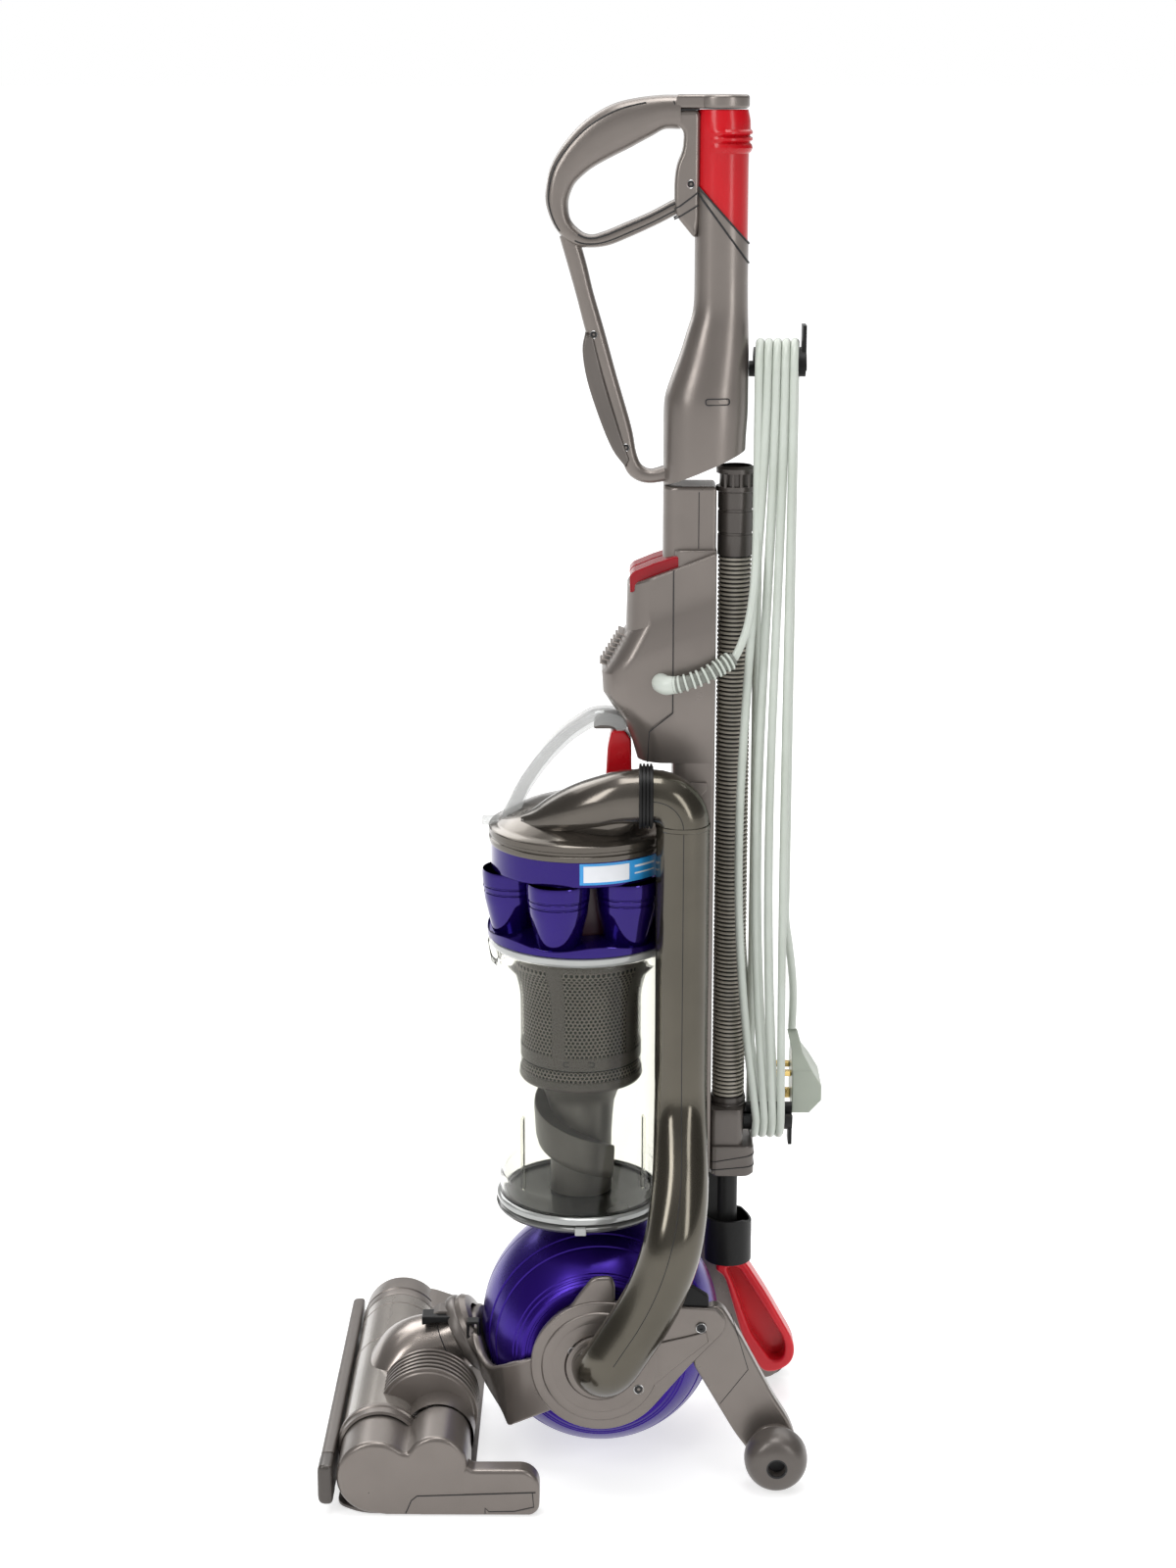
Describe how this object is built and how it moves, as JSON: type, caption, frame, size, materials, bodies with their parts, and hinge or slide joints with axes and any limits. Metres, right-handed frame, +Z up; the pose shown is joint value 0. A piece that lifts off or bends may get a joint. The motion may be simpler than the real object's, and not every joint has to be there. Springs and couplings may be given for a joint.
{
  "type": "upright vacuum cleaner",
  "caption": "Upright bagless vacuum cleaner: a rolling ball body, clear cyclone bin, brush head on a swivelling neck, extending wand handle and a mains lead wound on two hooks.",
  "frame": {"origin": "on the floor, in the middle of the footprint of the cleaner without its lead", "axes": "+Z up, -Y towards the cleaner head (the front), +X to the side that carries the clean-air duct"},
  "size_m": [0.31, 0.398, 1.0775],
  "materials": {
    "grey_plastic": "satin warm grey moulded plastic with a fine metallic flake",
    "dark_plastic": "matt dark grey moulded plastic",
    "rubber_dark": "soft black rubber",
    "clear_plastic": "clear polycarbonate with light scuffs",
    "ball_indigo": "satin indigo moulded plastic",
    "violet_gloss": "deep glossy blue violet, partly see-through",
    "red_plastic": "glossy bright red moulded plastic",
    "duct_gloss": "polished warm grey plastic",
    "hose_skin": "dark corrugated hose with a wire helix",
    "shroud_dark": "dark brown grey with fine round holes",
    "lead_grey": "pale grey green flexible sheath",
    "plug_grey": "grey green moulded plug",
    "brass": "polished brass",
    "steel": "brushed steel",
    "screw_black": "blackened screw heads",
    "filter_cloth": "pleated filter paper",
    "bristle": "black nylon bristle tufts"
  },
  "bodies": {
    "head": {"soleplate": "dark_plastic", "bumper_strip": "rubber_dark", "brush_housing": "clear_plastic", "head_end_cap": "grey_plastic", "belt_cover": "grey_plastic", "brush_motor_cover": "dark_plastic", "brush_motor": "steel", "drive_belt": "rubber_dark"},
    "brush": {"brush_bar": "red_plastic", "brush_bristles": "bristle"},
    "motor_pulley": {"brush_motor_pulley": "steel"},
    "rollers": {"sole_rollers": "rubber_dark"},
    "neck": {"neck_elbow": "grey_plastic"},
    "yoke": {"yoke_cradle": "grey_plastic", "neck_collar": "dark_plastic"},
    "ball": {"ball_shell_near": "ball_indigo", "ball_shell_far": "ball_indigo"},
    "main": {"motor_bucket": "dark_plastic", "vacuum_motor": "steel", "exhaust_filter": "filter_cloth", "ball_bearings": "steel", "spine": "grey_plastic", "front_housing": "grey_plastic", "hose": "hose_skin", "hose_collars": "dark_plastic", "valve_housing": "dark_plastic", "rear_tube": "dark_plastic", "lower_hook": "dark_plastic", "strain_relief": "lead_grey", "clean_air_duct": "duct_gloss", "duct_clip": "rubber_dark", "wand_tube": "grey_plastic", "handle_grip": "grey_plastic", "handle_strut": "grey_plastic", "grip_pad": "dark_plastic", "body_screws": "screw_black", "cord_ends": "lead_grey", "cord_winding": "lead_grey", "plug_body": "plug_grey", "plug_pins": "brass"},
    "fan": {"motor_fan": "dark_plastic"},
    "wand": {"wand_collar": "red_plastic"},
    "cap": {"wand_cap": "grey_plastic"},
    "cable_hook": {"upper_hook": "dark_plastic"},
    "power_key": {"power_button": "red_plastic"},
    "brush_key": {"brush_button": "red_plastic"},
    "stand": {"side_cover_near": "grey_plastic", "side_cover_far": "grey_plastic", "stand_leg_near": "grey_plastic", "stand_leg_far": "grey_plastic"},
    "pedal": {"stand_pedal": "red_plastic"},
    "wheels": {"stand_wheels": "dark_plastic"},
    "cyclone": {"cyclone_cones": "violet_gloss", "cyclone_cap": "grey_plastic", "carry_handle": "clear_plastic", "clear_bin": "clear_plastic", "bin_shroud": "shroud_dark", "inner_cone": "shroud_dark"},
    "bin_door": {"bin_base": "dark_plastic"},
    "catch": {"bin_catch": "red_plastic"}
  },
  "joints": [
    {"name": "head_pitch", "type": "hinge", "parent": "head", "child": "neck", "pos_m": [0, -0.147, 0.033], "axis": [1, 0, 0], "range_deg": [-6, 6]},
    {"name": "neck_swivel", "type": "hinge", "parent": "neck", "child": "yoke", "pos_m": [0, -0.085, 0.082], "axis": [0, 0.8746, 0.4848], "range_deg": [-25, 25]},
    {"name": "ball_roll", "type": "hinge", "parent": "yoke", "child": "ball", "pos_m": [0, 0.027, 0.097], "axis": [1, 0, 0], "continuous": true},
    {"name": "recline", "type": "hinge", "parent": "yoke", "child": "main", "pos_m": [0, 0.027, 0.097], "axis": [-1, 0, 0], "range_deg": [0, 45]},
    {"name": "stand_fold", "type": "hinge", "parent": "yoke", "child": "stand", "pos_m": [0, 0.027, 0.097], "axis": [1, 0, 0], "range_deg": [0, 11.25]},
    {"name": "wheel_roll", "type": "hinge", "parent": "stand", "child": "wheels", "pos_m": [0, 0.167, 0.025], "axis": [1, 0, 0], "continuous": true},
    {"name": "pedal_press", "type": "hinge", "parent": "stand", "child": "pedal", "pos_m": [-0.059, 0.133, 0.121], "axis": [-1, 0, 0], "range_deg": [0, 6], "stiffness_Nm_per_rad": 6, "springref_deg": -2.86},
    {"name": "fan_spin", "type": "hinge", "parent": "main", "child": "fan", "pos_m": [0.033, 0.027, 0.097], "axis": [1, 0, 0], "continuous": true},
    {"name": "brush_spin", "type": "hinge", "parent": "head", "child": "brush", "pos_m": [0, -0.147, 0.033], "axis": [1, 0, 0], "continuous": true},
    {"name": "brush_motor_spin", "type": "hinge", "parent": "head", "child": "motor_pulley", "pos_m": [0.105, -0.098, 0.04], "axis": [1, 0, 0], "continuous": true},
    {"name": "roller_spin", "type": "hinge", "parent": "head", "child": "rollers", "pos_m": [0, -0.108, 0.007], "axis": [1, 0, 0], "continuous": true},
    {"name": "power_press", "type": "slide", "parent": "main", "child": "power_key", "axis": [0, 0.3584, -0.9336], "range_m": [0, 0.003], "stiffness_N_per_m": 400, "springref_m": -0.002},
    {"name": "brush_press", "type": "slide", "parent": "main", "child": "brush_key", "axis": [0, 0.3584, -0.9336], "range_m": [0, 0.003], "stiffness_N_per_m": 400, "springref_m": -0.002},
    {"name": "wand_extend", "type": "slide", "parent": "main", "child": "wand", "axis": [0, 0, 1], "range_m": [0, 0.2]},
    {"name": "cap_flip", "type": "hinge", "parent": "wand", "child": "cap", "pos_m": [0, 0.082, 1.0775], "axis": [1, 0, 0], "range_deg": [0, 100]},
    {"name": "hook_turn", "type": "hinge", "parent": "main", "child": "cable_hook", "pos_m": [0, 0.157, 0.876], "axis": [0, 1, 0], "range_deg": [0, 180]},
    {"name": "bin_slide", "type": "slide", "parent": "main", "child": "cyclone", "axis": [0, -1, 0], "range_m": [0, 0.32]},
    {"name": "bin_door", "type": "hinge", "parent": "cyclone", "child": "bin_door", "pos_m": [0, 0.081, 0.203], "axis": [1, 0, 0], "range_deg": [0, 80]},
    {"name": "catch_press", "type": "slide", "parent": "cyclone", "child": "catch", "axis": [0, 0, -1], "range_m": [0, 0.003], "stiffness_N_per_m": 400, "springref_m": -0.002}
  ],
  "couplings": [
    {"joint": "stand_fold", "follows": "recline", "ratio": 0.25},
    {"joint": "brush_motor_spin", "follows": "brush_spin", "ratio": 1.75},
    {"joint": "bin_door", "follows": "bin_slide", "rad_per_m": 4.3631}
  ]
}
